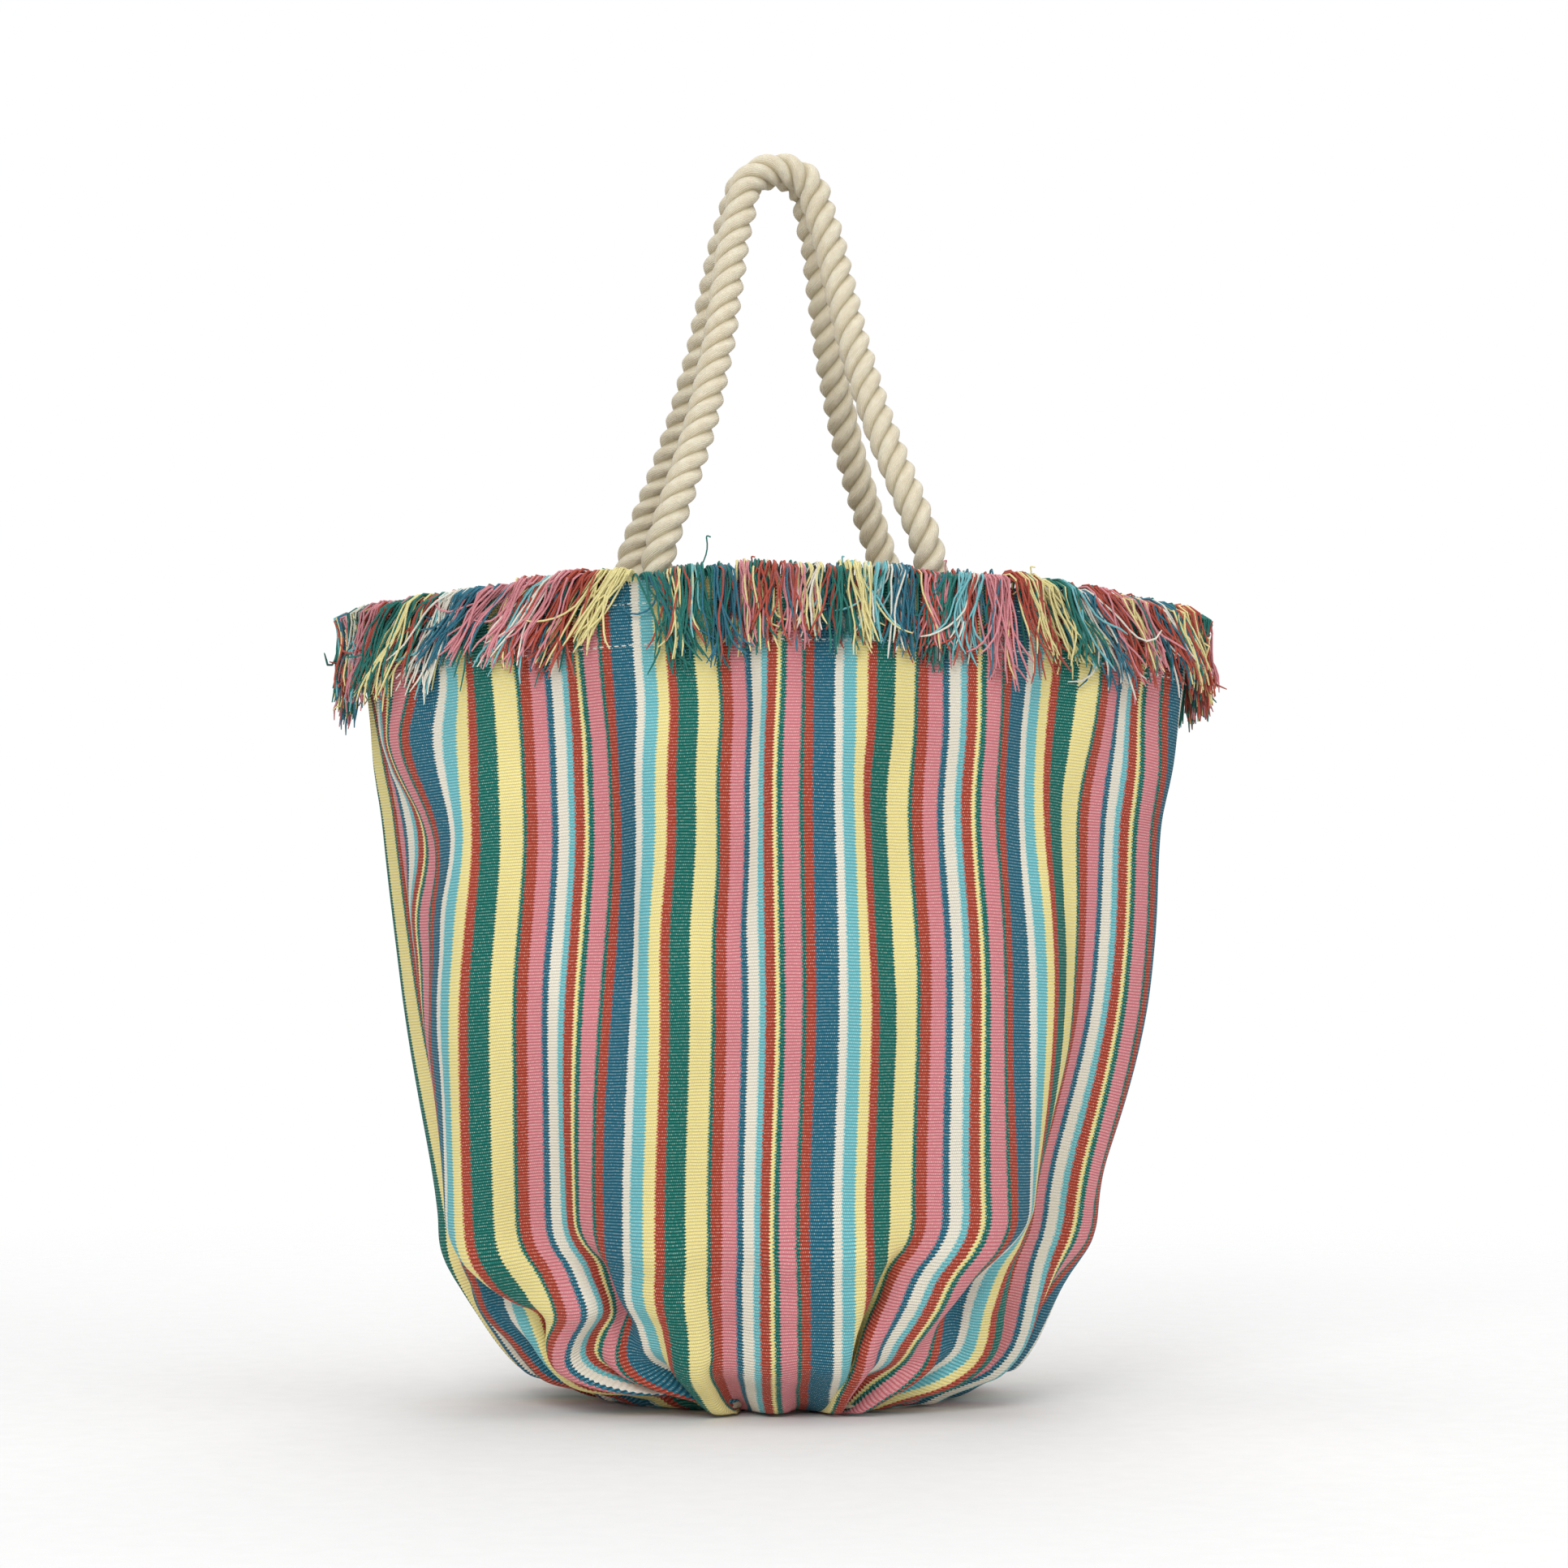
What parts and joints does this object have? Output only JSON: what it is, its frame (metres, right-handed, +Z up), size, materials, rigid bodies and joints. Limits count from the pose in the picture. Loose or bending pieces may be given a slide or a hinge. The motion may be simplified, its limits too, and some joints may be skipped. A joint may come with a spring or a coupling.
{
  "type": "beach bag",
  "caption": "Gathered striped cloth beach bag with a fringed rim, a hem facing, a lining and rope handles that swing outwards.",
  "frame": {"origin": "on the floor under the middle of the oval base", "axes": "+X across the bag along its width, +Y to its back, +Z up through the mouth; the front with the front handle faces -Y"},
  "size_m": [0.5218, 0.27, 0.7439],
  "materials": {
    "striped_cloth": "matt warp-striped ribbed cotton weave",
    "lining_cloth": "plain natural cotton",
    "fringe_yarn": "loose dyed cotton yarns in the stripe colours",
    "cotton_rope": "twisted natural cotton rope",
    "sewing_thread": "white sewing thread"
  },
  "bodies": {
    "root": {"front_panel": "striped_cloth", "back_panel": "striped_cloth", "base_panel": "striped_cloth", "facing_front": "striped_cloth", "facing_back": "striped_cloth", "lining_front": "lining_cloth", "lining_back": "lining_cloth", "lining_base": "lining_cloth", "fringe_front": "fringe_yarn", "fringe_back": "fringe_yarn", "topstitch_upper": "sewing_thread", "topstitch_lower": "sewing_thread", "rope_bend_front": "cotton_rope", "rope_bend_back": "cotton_rope", "rope_ends_front": "cotton_rope", "rope_ends_back": "cotton_rope", "rope_whippings_front": "sewing_thread", "rope_whippings_back": "sewing_thread"},
    "front_loop": {"handle_front": "cotton_rope"},
    "back_loop": {"handle_back": "cotton_rope"}
  },
  "joints": [
    {"name": "handle_front_swing", "type": "hinge", "parent": "root", "child": "front_loop", "pos_m": [0, -0.0917, 0.524], "axis": [1, 0, 0], "range_deg": [0, 140], "deforming": ["rope_bend_front"]},
    {"name": "handle_back_swing", "type": "hinge", "parent": "root", "child": "back_loop", "pos_m": [0, 0.0917, 0.524], "axis": [-1, 0, 0], "range_deg": [0, 140], "deforming": ["rope_bend_back"]}
  ]
}
